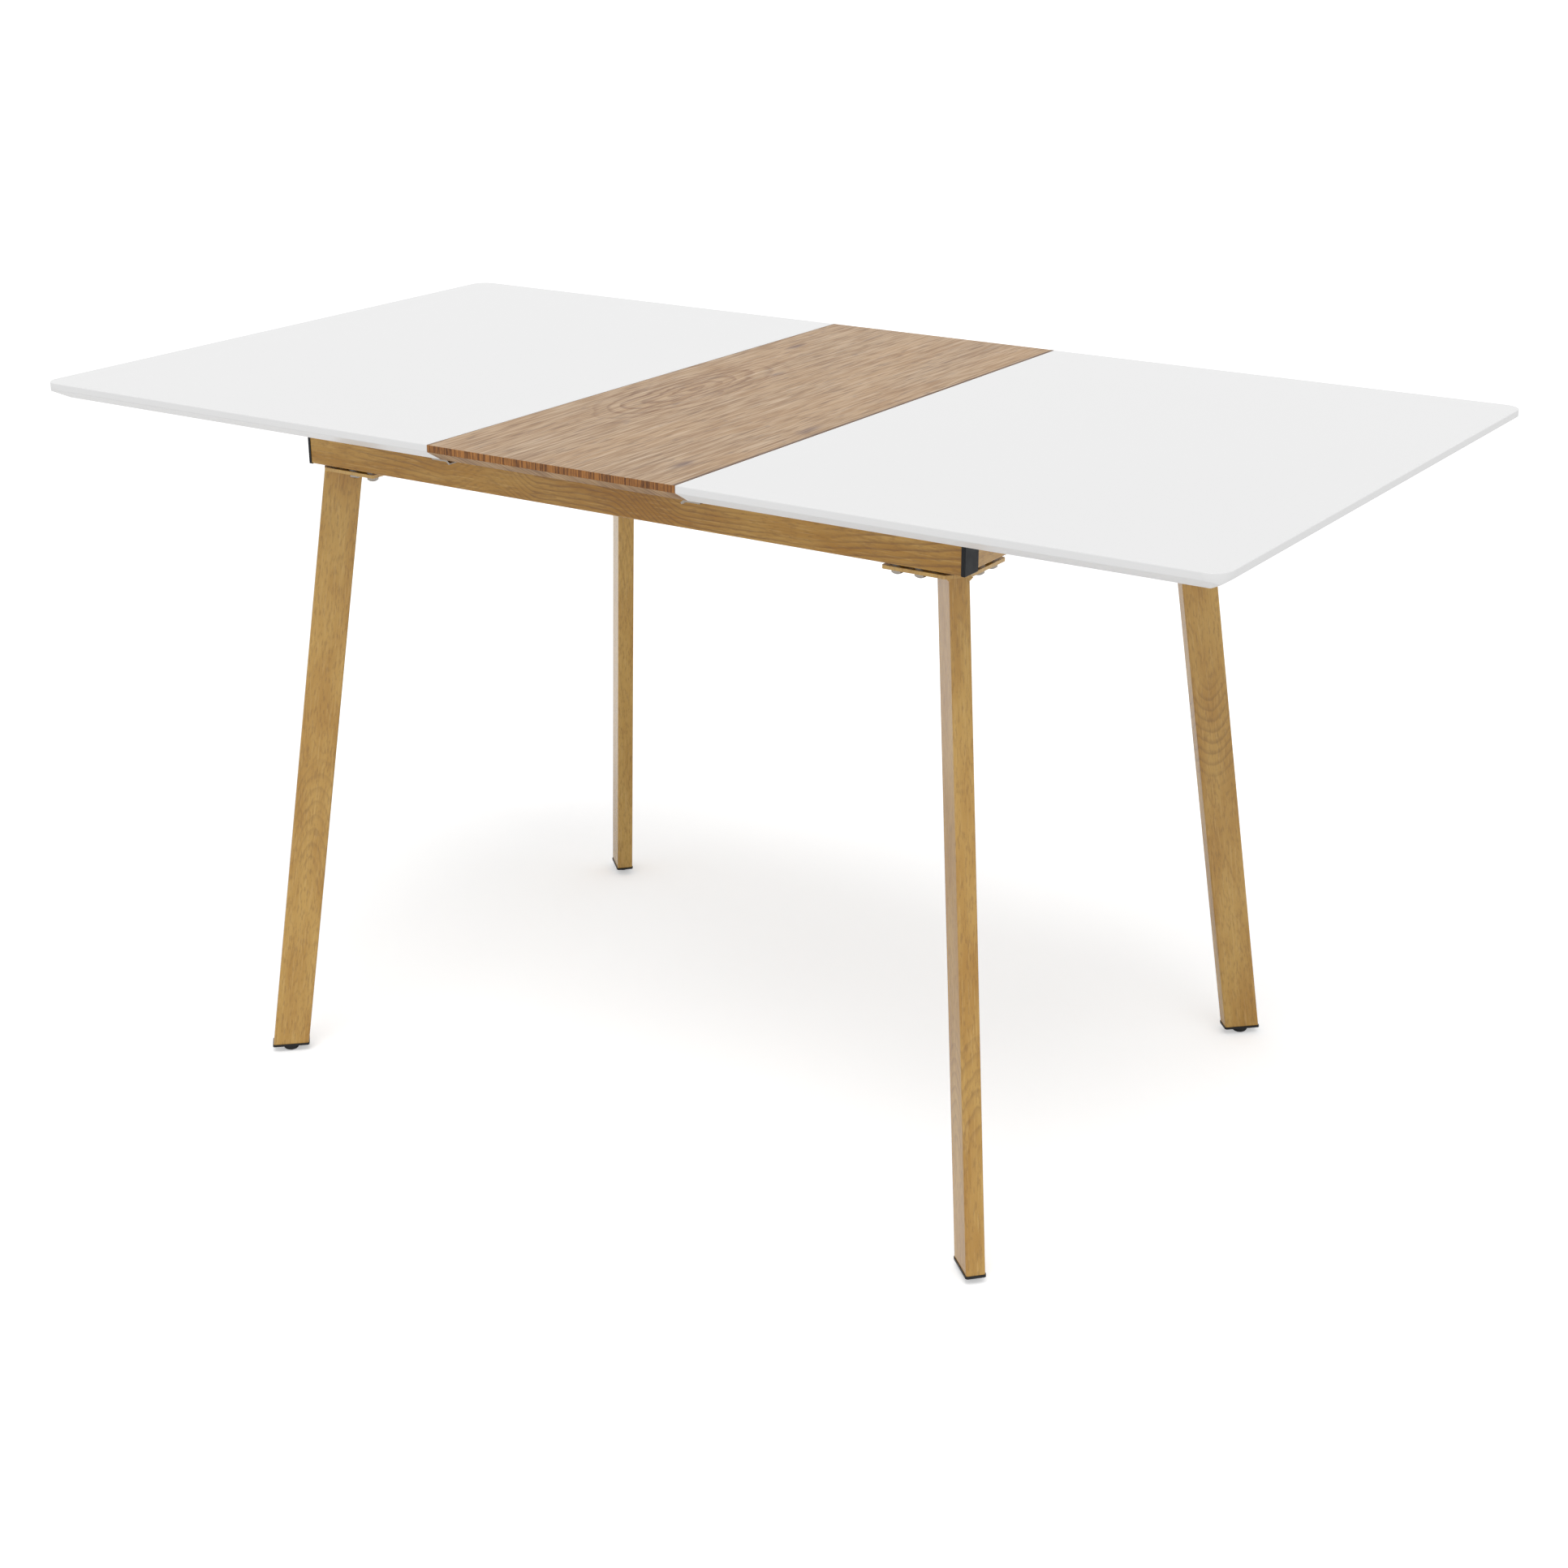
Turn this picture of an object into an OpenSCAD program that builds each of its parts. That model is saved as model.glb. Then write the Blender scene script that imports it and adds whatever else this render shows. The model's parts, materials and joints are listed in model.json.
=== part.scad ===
// Rectangular extending dining table, shown extended with its wood leaf in place.
// Millimetres. X runs along the table, the front is at -Y, and the floor is at z = 0.
// The origin is on the floor under the middle of the leaf.

/* [Top] */
// Length of each white half of the top
half_l = 550; // [500:5:600]
// Length of the opening between the halves, which the leaf fills
leaf_l = 300; // [240:5:340]
// Width of the top, front to back
top_w = 750; // [660:5:900]
// Height of the top's upper face above the floor
table_h = 765; // [700:5:800]
// Thickness of the top
top_t = 19; // [18:0.5:26]
// Height of the upright band at the top's edge, above the bevel
edge_band = 7.5; // [5:0.5:10]
// How far the bevel under the edge runs in
bevel_in = 20; // [8:1:30]
// Plan radius of the top's four outer corners
corner_r = 20; // [5:1:40]
// Open joint between the leaf and each half
seam_gap = 0.3; // [0.2:0.1:1]

/* [Frame] */
// Length of the long rails, without their caps
frame_l = 800; // [760:5:900]
// Width over the outer faces of the long rails
frame_w = 554; // [480:2:600]
// Height of every rail
rail_h = 53; // [46:1:60]
// Width of the long rails
rail_w = 25; // [20:1:30]
// Width of the end rails
end_rail_w = 20; // [16:1:30]
// Outer corner radius of the rail and leg tubes
tube_r = 2; // [1:0.25:3]
// Wall thickness of the rail and leg tubes
tube_wall = 1.5; // [1:0.1:2]
// Thickness of a rail cap's flange
cap_t = 4; // [2:0.5:6]
// Depth of a rail cap's plug in the tube
cap_plug_l = 16; // [10:1:25]
// Chamfer round a rail cap's outer edge
cap_chamfer = 1; // [0.5:0.25:1.5]
// How far a cap's flange stands out past the rail's sides and below it
cap_lip = 0.6; // [0:0.1:1.5]

/* [Legs] */
// Wide face of the leg tube
leg_wide = 40; // [30:1:44]
// Narrow face of the leg tube
leg_narrow = 20; // [16:1:24]
// Lean of each leg outwards, towards its own corner
leg_lean = 8.6; // [4:0.2:10]
// Plan direction of the lean and of the leg's wide face, from the frame's length
leg_turn = 43; // [38:0.5:52]
// Distance from the frame's end to the leg's middle under its plate
leg_in_x = 22.5; // [20:0.5:28]
// Distance from the frame's front or back to the leg's middle under its plate
leg_in_y = 25; // [22:0.5:28]
// Thickness of the plate on top of a leg
plate_t = 3.5; // [3:0.5:6]
// Inset of the plate's outer edges from the frame's faces
plate_inset = 0.5; // [0:0.5:3]
// Reach of the plate from the frame corner, along both rails
plate_reach = 86; // [84:1:100]
// Width of the plate's square-cut ends
plate_end_w = 22; // [18:1:26]
// Plan radius of the plate's end corners
plate_r = 2.5; // [1:0.5:5]
// Leg length of the weld fillets between a leg and its plate
weld_w = 3; // [2:0.5:4]

/* [Leg fixings] */
// Distance from the frame corner to the nearer bolt on each rail
bolt_first = 50; // [48:1:54]
// Distance between the two bolts on each rail
bolt_pitch = 25; // [20:1:28]
// Shank diameter of the leg bolts
bolt_d = 6; // [5:0.5:6.5]
// Shank length of the leg bolts
bolt_l = 22; // [18:1:26]
// Head diameter of the leg bolts
bolt_head_d = 12; // [10:0.5:13]
// Head height of the leg bolts
bolt_head_h = 5; // [4.5:0.1:6]
// Height of the upright skirt of the bolt's head, above its dome
bolt_skirt_h = 2.6; // [2:0.2:3.4]
// Hex key size of the leg bolts, over its corners
bolt_key = 4.5; // [3:0.5:5]
// Diameter of the washers under the bolt heads
washer_d = 14; // [13:0.5:16]
// Thickness of the washers
washer_t = 1.6; // [1:0.2:2]
// Flange thickness of the rivet nuts, which holds the plate off the rail
nut_flange_t = 2; // [0.8:0.1:2.5]
// Flange diameter of the rivet nuts
nut_flange_d = 13; // [11:0.5:14]
// Body diameter of the rivet nuts
nut_body_d = 9; // [8.5:0.1:10]
// Body length of the rivet nuts above the rail's lower face
nut_body_l = 13; // [10:1:18]
// Width of the bulge that grips the rail's wall, beyond the rivet nut's body
nut_bulge = 1; // [0.5:0.25:2]

/* [Feet] */
// Thickness of the black insert's flange, which shows below a leg
insert_t = 2.6; // [1.6:0.2:4]
// How far the insert's flange stands out past the leg's faces
insert_lip = 0.8; // [0.2:0.1:1.2]
// Depth of the insert's plug in the leg
insert_plug_l = 26; // [22:1:40]
// Diameter of the levelling glide
glide_d = 18; // [14:1:20]
// Height of the levelling glide below the insert, screwed right in
glide_h = 7; // [6:0.5:10]
// Stem diameter of the levelling glide
stem_d = 8; // [6:0.5:9]
// Stem length of the levelling glide
stem_l = 24; // [18:1:25]
// Radius of the levelling glide's rolled lower rim
glide_rim = 4.5; // [1:0.5:5]
// Chamfer on the levelling glide's upper edge
glide_chamfer = 0.6; // [0.2:0.2:1.2]

/* [Slides] */
// Height of the steel track on each long rail
track_h = 32; // [28:1:36]
// Depth of the track
track_d = 20; // [18:0.5:24]
// Sheet thickness of the track
track_t = 1.5; // [1:0.25:2]
// Height of the lips at the track's mouth
track_lip = 5; // [4:0.5:7]
// Drop from the top of the rail to the top of the track
track_drop = 10; // [6:0.5:12]
// Sheet thickness of the runners
runner_t = 2; // [1.5:0.25:2.5]
// Width of the runner's flange under the top
runner_flange_w = 24; // [20:1:30]
// Upright gap between the track's mouth and the runner's riser
runner_clear = 8; // [4:1:12]
// Setback of the runner's end from the seam
runner_set = 2; // [1:1:10]
// Outward travel of each half that frees the leaf
release = 20; // [10:1:30]
// Length of each nylon slide block
block_l = 30; // [20:1:40]
// Thickness of the rubber stop at each end of a track
stop_t = 4.7; // [3:0.1:8]
// Height of the hooked head of a runner above its neck
hook_h = 12; // [8:0.5:12.5]

/* [Seam clips] */
// Width of a seam clip, front to back
clip_w = 14; // [10:1:18]
// Sheet thickness of a seam clip
clip_t = 2; // [1:0.25:2.5]
// Length of a seam clip under the white half
clip_back = 13; // [12:1:24]
// Length of a seam clip's tongue under the leaf
clip_tongue = 9; // [9:1:16]
// Distance from the bevel's inner edge to the seam clip
clip_in = 2; // [1:1:20]
// Dip of the clip's tongue at its tip
clip_dip = 3; // [1:0.5:3.5]
// Hole in the clip's tongue
clip_hole_d = 3; // [2:0.5:5]

/* [Wood screws] */
// Shank diameter of the wood and sheet screws
screw_d = 4; // [3:0.5:4.5]
// Head diameter of the wood and sheet screws
screw_head_d = 8; // [7:0.5:9]
// Head height of the wood and sheet screws
screw_head_h = 2.2; // [1.5:0.1:2.4]
// Width of the slots that cross in the head of a wood or sheet screw
screw_slot = 1; // [0.6:0.1:1.2]
// Depth of the wood screws in the top
screw_in = 14; // [8:1:16]
// Length of the track screws beyond the track
track_screw_l = 9; // [5:1:12]

/* [Hidden] */
$fn = 48;

// Heights and plan lines that the pieces share
under_z = table_h - top_t;
bevel_z = table_h - edge_band;
rail_z = under_z - rail_h;
plate_z = rail_z - nut_flange_t - plate_t;
leg_foot_z = glide_h + insert_t;
seam_x = leaf_l / 2;
end_x = seam_x + half_l;
frame_x = frame_l / 2;
frame_y = frame_w / 2;
end_rail_x = frame_x - end_rail_w;
inner_y = frame_y - rail_w;

// Clearances
hole_gap = 0.3;
press_gap = 0.05;
slide_gap = 0.3;
plug_gap = 0.2;
over = 1;

// Points of the slide's section: v runs in from the rail's inner face, z is the real height
track_top_z = under_z - track_drop;
track_low_z = track_top_z - track_h;
track_mid_z = track_top_z - track_h / 2;
hook_v = track_d / 2;
riser_v = track_d + runner_clear + runner_t / 2;
flange_z = under_z - runner_t / 2;
flange_end_v = riser_v + runner_flange_w;
runner_screw_v = riser_v + runner_flange_w / 2 + runner_t / 2;
neck_z = track_mid_z;
block_v0 = track_t + screw_head_h + 2 * slide_gap;
block_v1 = track_d - track_t - slide_gap;
block_z0 = track_low_z + track_t + slide_gap;
block_z1 = track_top_z - track_t - slide_gap;
bend_r = 1;
bend_steps = 4;

// Share of a head's height that its key hole or slot takes
drive_depth = 0.6;

// Where the runners, their screws and the track's screws lie along X
runner_x0 = seam_x + runner_set;
runner_x1 = end_rail_x - stop_t - slide_gap - release;
runner_screw_margin = 20;
runner_screws = 3;
track_screws = 4;
track_screw_margin = 60;

// Bolt places on one corner, as distances in from the frame's end and from its front face
bolt_marks = [
    [bolt_first, rail_w / 2],
    [bolt_first + bolt_pitch, rail_w / 2],
    [end_rail_w / 2, bolt_first],
    [end_rail_w / 2, bolt_first + bolt_pitch]];
bolt_hole_d = bolt_d + 2 * hole_gap;

// How far a leg runs out in plan from its plate to its glide, and a length that it never reaches
foot_run = (plate_z - glide_h) * tan(leg_lean);
leg_long = plate_z / cos(leg_lean) + leg_wide;
// Depth of the leg's outer face from the frame corner, measured along the leg's plan direction
face_depth = leg_in_x * cos(leg_turn) + leg_in_y * sin(leg_turn) - leg_wide / 2 / cos(leg_lean);

// Seam clip places, run of its tongue per millimetre of dip, and wall of a cap's hollow plug
clip_y = top_w / 2 - bevel_in - clip_in - clip_w / 2;
clip_z = under_z - clip_t / 2;
clip_slope = 1.2;
plug_wall = 2;

// Colours
white_lacquer = "#eef0f1";
oak_leaf = "#be9b7d";
oak_foil = "#a5824f";
black_plastic = "#2d3034";
bright_steel = "#c9ccd0";
zinc_steel = "#a9adb2";
nylon = "#e8e6df";
rubber_black = "#202225";

// Plan vectors
function unit(v) = v / norm(v);
function left_of(v) = [-v[1], v[0]];
function turned(v, a) = [v[0] * cos(a) - v[1] * sin(a), v[0] * sin(a) + v[1] * cos(a)];
function heading(path, i) = unit(path[i + 1] - path[i]);
function turn_between(before, after) = atan2(before[0] * after[1] - before[1] * after[0], before * after);

// Arc round the corner p between two headings: fitted there at radius fit_r and drawn at radius r
function corner_arc(p, before, after, fit_r, r) =
    let (turn = turn_between(before, after),
        way = sign(turn),
        centre = p + unit(left_of(before) + left_of(after)) * way * fit_r / cos(turn / 2))
    [for (k = [0:bend_steps]) centre - way * r * left_of(turned(before, turn * k / bend_steps))];

// Outline with corner i rounded to radii[i], where 0 keeps it sharp
function rounded_outline(points, radii) =
    let (n = len(points))
    [for (i = [0:n - 1])
        let (before = unit(points[i] - points[(i + n - 1) % n]),
            after = unit(points[(i + 1) % n] - points[i]))
        each radii[i] == 0 ? [points[i]] : corner_arc(points[i], before, after, radii[i], radii[i])];

// Points of one face round bend i of a sheet that follows path; side is 1 on the left face
function bend_points(path, i, t, side) =
    let (before = heading(path, i - 1),
        after = heading(path, i),
        inner = side == sign(turn_between(before, after)))
    corner_arc(path[i], before, after, bend_r + t / 2, inner ? bend_r : bend_r + t);

function face_points(path, t, side) =
    let (last = len(path) - 1)
    concat(
        [path[0] + side * left_of(heading(path, 0)) * t / 2],
        [for (i = [1:last - 1]) each bend_points(path, i, t, side)],
        [path[last] + side * left_of(heading(path, last - 1)) * t / 2]);

function backwards(points) = [for (i = [len(points) - 1:-1:0]) points[i]];

module bent_sheet(path, t) {
    polygon(concat(face_points(path, t, 1), backwards(face_points(path, t, -1))));
}

// Extrudes a YZ section from x0 to x1
module along_x(x0, x1) {
    translate([x0, 0, 0])
        rotate([90, 0, 90])
            linear_extrude(x1 - x0)
                children();
}

// Extrudes an XZ section from y0 to y1
module along_y(y0, y1) {
    translate([0, y1, 0])
        rotate([90, 0, 0])
            linear_extrude(y1 - y0)
                children();
}

// Carries what is drawn for the front right corner to any corner
module to_corner(sx, sy) {
    mirror([sx < 0 ? 1 : 0, 0, 0])
        mirror([0, sy > 0 ? 1 : 0, 0])
            children();
}

module rounded_rect(w, h, r) {
    square([w - 2 * r, h], center = true);
    square([w, h - 2 * r], center = true);
    for (x = [-1, 1], y = [-1, 1])
        translate([x * (w / 2 - r), y * (h / 2 - r)])
            circle(r);
}

module tube_section(w, h) {
    difference() {
        rounded_rect(w, h, tube_r);
        square([w - 2 * tube_wall, h - 2 * tube_wall], center = true);
    }
}

// Head with its seat at z = 0 over a shank that runs up +Z: a skirt, if it has one, and a dome
module domed_screw(d, l, head_d, head_h, skirt_h = 0) {
    dome_h = head_h - skirt_h;
    dome_r = (head_d * head_d / 4 + dome_h * dome_h) / (2 * dome_h);
    cylinder(d = d, h = l);
    intersection() {
        translate([0, 0, dome_r - head_h])
            sphere(dome_r);
        translate([0, 0, -head_h])
            cylinder(d = skirt_h > 0 ? head_d : head_d + over, h = head_h);
    }
}

// Wood or sheet screw with a cross slot
module slotted_screw(l) {
    slot_l = screw_head_d / 2;
    difference() {
        domed_screw(screw_d, l, screw_head_d, screw_head_h);
        for (a = [0, 90])
            rotate([0, 0, a])
                translate([-slot_l / 2, -screw_slot / 2, -screw_head_h - over])
                    cube([slot_l, screw_slot, over + screw_head_h * drive_depth]);
    }
}

// The two shaped sides that bevel a piece of the top, front and back
module edge_section() {
    polygon([
        [-top_w / 2 + bevel_in, under_z], [top_w / 2 - bevel_in, under_z],
        [top_w / 2, bevel_z], [top_w / 2, table_h],
        [-top_w / 2, table_h], [-top_w / 2, bevel_z]]);
}

module end_section() {
    polygon([
        [seam_x, under_z], [end_x - bevel_in, under_z],
        [end_x, bevel_z], [end_x, table_h], [seam_x, table_h]]);
}

// Plan of the right half: square at the seam, rounded at the outer corners
module half_plan() {
    translate([seam_x, -top_w / 2])
        square([half_l - corner_r, top_w]);
    translate([seam_x, -top_w / 2 + corner_r])
        square([half_l, top_w - 2 * corner_r]);
    for (y = [-1, 1])
        translate([end_x - corner_r, y * (top_w / 2 - corner_r)])
            circle(corner_r);
}

// Places children at each runner screw of the right half, front and back
module at_runner_screws() {
    step = (runner_x1 - runner_x0 - 2 * runner_screw_margin) / (runner_screws - 1);
    for (y = [-1, 1], i = [0:runner_screws - 1])
        translate([runner_x0 + runner_screw_margin + i * step, y * (inner_y - runner_screw_v), 0])
            children();
}

module at_clips() {
    for (y = [-1, 1])
        translate([0, y * clip_y, 0])
            children();
}

module at_clip_screws() {
    at_clips()
        translate([seam_x + clip_back / 2, 0, 0])
            children();
}

module right_half() {
    difference() {
        intersection() {
            along_x(seam_x, end_x)
                edge_section();
            along_y(-top_w / 2, top_w / 2)
                end_section();
            translate([0, 0, under_z])
                linear_extrude(top_t)
                    half_plan();
        }
        at_runner_screws()
            translate([0, 0, under_z - over])
                cylinder(d = screw_d + 2 * press_gap, h = screw_in + over);
        at_clip_screws()
            translate([0, 0, under_z - over])
                cylinder(d = screw_d + 2 * press_gap, h = screw_in + over);
    }
}

module right_top() {
    color(white_lacquer)
        right_half();
}

module left_top() {
    color(white_lacquer)
        mirror([1, 0, 0])
            right_half();
}

module leaf() {
    color(oak_leaf)
        along_x(-seam_x + seam_gap, seam_x - seam_gap)
            edge_section();
}

// Long rail at the front, with holes for the rivet nuts and the track's screws
module long_rail() {
    color(oak_foil)
        difference() {
            translate([0, -frame_y + rail_w / 2, rail_z + rail_h / 2])
                along_x(-frame_x, frame_x)
                    tube_section(rail_w, rail_h);
            for (sx = [-1, 1], i = [0, 1])
                translate([sx * (frame_x - bolt_marks[i][0]), -frame_y + bolt_marks[i][1], rail_z - over])
                    cylinder(d = nut_body_d + 2 * press_gap, h = tube_wall + 2 * over);
            at_track_screws()
                translate([0, 0, -over])
                    cylinder(d = screw_d + 2 * press_gap, h = tube_wall + 2 * over);
        }
}

module front_rail() {
    long_rail();
}

module back_rail() {
    mirror([0, 1, 0])
        long_rail();
}

// End rail on the right, butted between the long rails
module end_rail() {
    color(oak_foil)
        difference() {
            translate([frame_x - end_rail_w / 2, 0, rail_z + rail_h / 2])
                along_y(-inner_y, inner_y)
                    tube_section(end_rail_w, rail_h);
            for (sy = [-1, 1], i = [2, 3])
                translate([frame_x - bolt_marks[i][0], sy * (frame_y - bolt_marks[i][1]), rail_z - over])
                    cylinder(d = nut_body_d + 2 * press_gap, h = tube_wall + 2 * over);
        }
}

module right_end_rail() {
    end_rail();
}

module left_end_rail() {
    mirror([1, 0, 0])
        end_rail();
}

// Section of a cap's flange, chamfered on its outer edges
module flange_section(size) {
    polygon([
        [frame_x, -size / 2], [frame_x + cap_t - cap_chamfer, -size / 2],
        [frame_x + cap_t, -size / 2 + cap_chamfer], [frame_x + cap_t, size / 2 - cap_chamfer],
        [frame_x + cap_t - cap_chamfer, size / 2], [frame_x, size / 2]]);
}

// Plastic end cap of a long rail: a chamfered flange and a hollow plug
module cap(sx, sy) {
    plug_w = rail_w - 2 * tube_wall - 2 * plug_gap;
    plug_h = rail_h - 2 * tube_wall - 2 * plug_gap;
    flange_w = rail_w + 2 * cap_lip;
    flange_h = rail_h + cap_lip;
    color(black_plastic)
        to_corner(sx, sy)
            translate([0, -frame_y + rail_w / 2, rail_z + rail_h / 2]) {
                translate([0, 0, -cap_lip / 2])
                    intersection() {
                        along_x(frame_x, frame_x + cap_t)
                            rounded_rect(flange_w, flange_h, tube_r);
                        along_y(-flange_w / 2, flange_w / 2)
                            flange_section(flange_h);
                        translate([0, 0, -flange_h / 2])
                            linear_extrude(flange_h)
                                flange_section(flange_w);
                    }
                along_x(frame_x - cap_plug_l, frame_x)
                    difference() {
                        square([plug_w, plug_h], center = true);
                        square([plug_w - 2 * plug_wall, plug_h - 2 * plug_wall], center = true);
                    }
            }
}

module front_left_cap() {
    cap(-1, -1);
}

module front_right_cap() {
    cap(1, -1);
}

module back_left_cap() {
    cap(-1, 1);
}

module back_right_cap() {
    cap(1, 1);
}

// Puts children at the leg's middle under its plate, with +X turned the way that the leg leans
module on_leg_plan() {
    translate([frame_x - leg_in_x, -frame_y + leg_in_y, plate_z])
        rotate([0, 0, -leg_turn])
            children();
}

// Long upright bar of a 2D section, leaned over onto the leg's axis
module on_leg_axis() {
    on_leg_plan()
        rotate([0, -leg_lean, 0])
            translate([0, 0, -leg_long])
                linear_extrude(2 * leg_long)
                    children();
}

// Solid bar with the leg's outer faces
module leg_bar() {
    on_leg_axis()
        rounded_rect(leg_wide, leg_narrow, tube_r);
}

// Level slab between two heights that covers a leg's whole plan
module level_slab(z0, z1) {
    slab = 4 * (leg_wide + foot_run);
    translate([frame_x - slab / 2, -frame_y - slab / 2, z0])
        cube([slab, slab, z1 - z0]);
}

// Leaning rectangular tube, cut level under its plate and over its insert
module leg(sx, sy) {
    color(oak_foil)
        to_corner(sx, sy)
            intersection() {
                on_leg_axis()
                    tube_section(leg_wide, leg_narrow);
                level_slab(leg_foot_z, plate_z);
            }
}

module front_left_leg() {
    leg(-1, -1);
}

module front_right_leg() {
    leg(1, -1);
}

module back_left_leg() {
    leg(-1, 1);
}

module back_right_leg() {
    leg(1, 1);
}

// Outline of a leg plate, as distances in from the frame's end and from its front face.
// Its corner is cut flush with the leg's outer face.
function plate_outline() =
    let (a = plate_inset,
        b = plate_inset + plate_end_w,
        c = plate_reach,
        cut_x = (face_depth - a * sin(leg_turn)) / cos(leg_turn),
        cut_y = (face_depth - a * cos(leg_turn)) / sin(leg_turn))
    rounded_outline(
        [[cut_x, a], [c, a], [c, b], [b, c], [a, c], [a, cut_y]],
        [0, plate_r, plate_r, plate_r, plate_r, 0]);

// Section of a weld fillet in the corner between an upright face and a plate over it
module weld_section() {
    polygon([[-over, 0], [weld_w, 0], [0, -weld_w], [-over, -weld_w]]);
}

// Weld fillets under the plate, along the leg's two wide faces and round its inner face
module leg_weld() {
    reach = leg_wide / 2 / cos(leg_lean);
    difference() {
        on_leg_plan() {
            for (side = [0, 1])
                mirror([0, side, 0])
                    translate([0, leg_narrow / 2, 0])
                        along_x(-reach - weld_w, reach)
                            weld_section();
            translate([-reach, 0, 0])
                rotate([0, 0, 90])
                    along_x(-leg_narrow / 2 - weld_w, leg_narrow / 2 + weld_w)
                        weld_section();
        }
        leg_bar();
    }
}

// Cut-cornered gusset that joins a leg to both rails, drilled for the four bolts
module leg_plate(sx, sy) {
    color(oak_foil)
        to_corner(sx, sy) {
            difference() {
                translate([0, 0, plate_z])
                    linear_extrude(plate_t)
                        polygon([for (p = plate_outline()) [frame_x - p[0], p[1] - frame_y]]);
                at_bolts()
                    translate([0, 0, plate_z - over])
                        cylinder(d = bolt_hole_d, h = plate_t + 2 * over);
            }
            leg_weld();
        }
}

module front_left_leg_plate() {
    leg_plate(-1, -1);
}

module front_right_leg_plate() {
    leg_plate(1, -1);
}

module back_left_leg_plate() {
    leg_plate(-1, 1);
}

module back_right_leg_plate() {
    leg_plate(1, 1);
}

// Places children over each bolt of the front right corner
module at_bolts() {
    for (m = bolt_marks)
        translate([frame_x - m[0], m[1] - frame_y, 0])
            children();
}

module leg_bolts(sx, sy) {
    color(bright_steel)
        to_corner(sx, sy)
            at_bolts()
                translate([0, 0, plate_z - washer_t])
                    difference() {
                        domed_screw(bolt_d, bolt_l, bolt_head_d, bolt_head_h, bolt_skirt_h);
                        translate([0, 0, -bolt_head_h - over])
                            cylinder(d = bolt_key, h = over + bolt_head_h * drive_depth, $fn = 6);
                    }
}

module front_left_leg_bolts() {
    leg_bolts(-1, -1);
}

module front_right_leg_bolts() {
    leg_bolts(1, -1);
}

module back_left_leg_bolts() {
    leg_bolts(-1, 1);
}

module back_right_leg_bolts() {
    leg_bolts(1, 1);
}

// Flat washers between the bolt heads and the plate
module washers(sx, sy) {
    color(zinc_steel)
        to_corner(sx, sy)
            at_bolts()
                translate([0, 0, plate_z - washer_t])
                    difference() {
                        cylinder(d = washer_d, h = washer_t);
                        translate([0, 0, -over])
                            cylinder(d = bolt_hole_d, h = washer_t + 2 * over);
                    }
}

module front_left_washers() {
    washers(-1, -1);
}

module front_right_washers() {
    washers(1, -1);
}

module back_left_washers() {
    washers(-1, 1);
}

module back_right_washers() {
    washers(1, 1);
}

// Flanged rivet nuts set in the rails' lower walls, which the plate bears on
module rivet_nuts(sx, sy) {
    color(zinc_steel)
        to_corner(sx, sy)
            at_bolts()
                translate([0, 0, rail_z])
                    difference() {
                        union() {
                            translate([0, 0, -nut_flange_t])
                                cylinder(d = nut_flange_d, h = nut_flange_t);
                            cylinder(d = nut_body_d, h = nut_body_l);
                            translate([0, 0, tube_wall])
                                cylinder(d = nut_body_d + 2 * nut_bulge, h = 2 * nut_bulge);
                        }
                        translate([0, 0, -nut_flange_t - over])
                            cylinder(d = bolt_d + 2 * press_gap, h = nut_flange_t + nut_body_l + 2 * over);
                    }
}

module front_left_rivet_nuts() {
    rivet_nuts(-1, -1);
}

module front_right_rivet_nuts() {
    rivet_nuts(1, -1);
}

module back_left_rivet_nuts() {
    rivet_nuts(-1, 1);
}

module back_right_rivet_nuts() {
    rivet_nuts(1, 1);
}

// Moves children to the middle of a foot, at floor level
module at_foot() {
    translate([
        frame_x - leg_in_x + foot_run * cos(leg_turn),
        -frame_y + leg_in_y - foot_run * sin(leg_turn), 0])
        children();
}

// Plastic insert that closes a leg: a flange that shows below the tube, and a plug with the glide's bore
module leg_insert(sx, sy) {
    color(black_plastic)
        to_corner(sx, sy)
            difference() {
                union() {
                    intersection() {
                        on_leg_axis()
                            rounded_rect(
                                leg_wide + 2 * insert_lip, leg_narrow + 2 * insert_lip, tube_r + insert_lip);
                        level_slab(glide_h, leg_foot_z);
                    }
                    intersection() {
                        on_leg_axis()
                            square([
                                leg_wide - 2 * tube_wall - 2 * plug_gap,
                                leg_narrow - 2 * tube_wall - 2 * plug_gap], center = true);
                        level_slab(leg_foot_z, leg_foot_z + insert_plug_l);
                    }
                }
                at_foot()
                    translate([0, 0, glide_h - over])
                        cylinder(d = stem_d + 2 * press_gap, h = insert_t + insert_plug_l + 2 * over);
            }
}

module front_left_leg_insert() {
    leg_insert(-1, -1);
}

module front_right_leg_insert() {
    leg_insert(1, -1);
}

module back_left_leg_insert() {
    leg_insert(-1, 1);
}

module back_right_leg_insert() {
    leg_insert(1, 1);
}

// Levelling glide: a flat-bottomed foot with a rolled rim under an upright stem
module glide(sx, sy) {
    color(rubber_black)
        to_corner(sx, sy)
            at_foot()
                rotate_extrude()
                    union() {
                        square([glide_d / 2 - glide_rim, glide_rim]);
                        intersection() {
                            translate([glide_d / 2 - glide_rim, glide_rim])
                                circle(glide_rim);
                            square([glide_d / 2, glide_rim]);
                        }
                        polygon([
                            [0, glide_rim], [glide_d / 2, glide_rim], [glide_d / 2, glide_h - glide_chamfer],
                            [glide_d / 2 - glide_chamfer, glide_h], [0, glide_h]]);
                        square([stem_d / 2, glide_h + stem_l]);
                    }
}

module front_left_glide() {
    glide(-1, -1);
}

module front_right_glide() {
    glide(1, -1);
}

module back_left_glide() {
    glide(-1, 1);
}

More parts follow.
